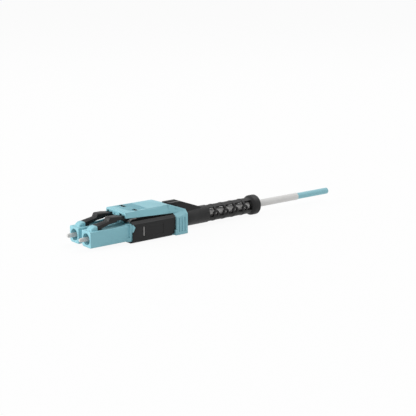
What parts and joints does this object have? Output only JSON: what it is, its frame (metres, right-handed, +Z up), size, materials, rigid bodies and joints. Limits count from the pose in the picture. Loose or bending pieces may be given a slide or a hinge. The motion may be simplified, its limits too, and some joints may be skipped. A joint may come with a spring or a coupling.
{
  "type": "duplex fibre connector with pull boot",
  "caption": "Duplex small-form fibre connector: spring-loaded ferrules in latched plugs, a pull cover that frees both latches, a strain-relief boot and a round cable.",
  "frame": {"origin": "midway between the two ferrule axes, in the plane of the plugs' front faces", "axes": "+X runs back along the cable, away from the mating face; +Z is up, the latch side; +Y is across, from plug a to plug b"},
  "size_m": [0.0979, 0.0138, 0.0091],
  "materials": {
    "aqua_plastic": "satin moulded",
    "black_plastic": "satin moulded",
    "pale_plastic": "matte",
    "boot_rubber": "soft matte",
    "ceramic": "polished ceramic",
    "plated_metal": "turned and plated",
    "spring_steel": "drawn wire",
    "buffer_plastic": "smooth",
    "cable_jacket": "satin jacket"
  },
  "bodies": {
    "connector": {"plug_housing_a": "aqua_plastic", "plug_housing_b": "aqua_plastic", "holder": "black_plastic", "retainer": "pale_plastic", "spring_stop_a": "plated_metal", "spring_stop_b": "plated_metal", "ferrule_spring_a": "spring_steel", "ferrule_spring_b": "spring_steel", "fibre_buffer_a": "buffer_plastic", "fibre_buffer_b": "buffer_plastic", "cable_post": "plated_metal", "crimp_ring": "plated_metal", "cable_sleeve": "pale_plastic", "cable": "cable_jacket"},
    "pull_cover": {"slide_cover": "aqua_plastic", "boot": "boot_rubber"},
    "latch_lever_a": {"latch_a": "black_plastic"},
    "latch_lever_b": {"latch_b": "black_plastic"},
    "floating_ferrule_a": {"ferrule_a": "ceramic", "ferrule_holder_a": "plated_metal"},
    "floating_ferrule_b": {"ferrule_b": "ceramic", "ferrule_holder_b": "plated_metal"}
  },
  "joints": [
    {"name": "cover_slide", "type": "slide", "parent": "connector", "child": "pull_cover", "axis": [1, 0, 0], "range_m": [0, 0.0025], "stiffness_N_per_m": 400, "springref_m": -0.001},
    {"name": "latch_turn_a", "type": "hinge", "parent": "connector", "child": "latch_lever_a", "pos_m": [0.0036, -0.00313, 0.0018], "axis": [0, 1, 0], "range_deg": [0, 5.21]},
    {"name": "latch_turn_b", "type": "hinge", "parent": "connector", "child": "latch_lever_b", "pos_m": [0.0036, 0.00313, 0.0018], "axis": [0, 1, 0], "range_deg": [0, 5.21]},
    {"name": "ferrule_float_a", "type": "slide", "parent": "connector", "child": "floating_ferrule_a", "axis": [1, 0, 0], "range_m": [0, 0.001], "stiffness_N_per_m": 1200, "springref_m": -0.004, "deforming": ["ferrule_spring_a"]},
    {"name": "ferrule_float_b", "type": "slide", "parent": "connector", "child": "floating_ferrule_b", "axis": [1, 0, 0], "range_m": [0, 0.001], "stiffness_N_per_m": 1200, "springref_m": -0.004, "deforming": ["ferrule_spring_b"]}
  ],
  "couplings": [
    {"joint": "latch_turn_a", "follows": "cover_slide", "rad_per_m": 36.303},
    {"joint": "latch_turn_b", "follows": "cover_slide", "rad_per_m": 36.303}
  ]
}
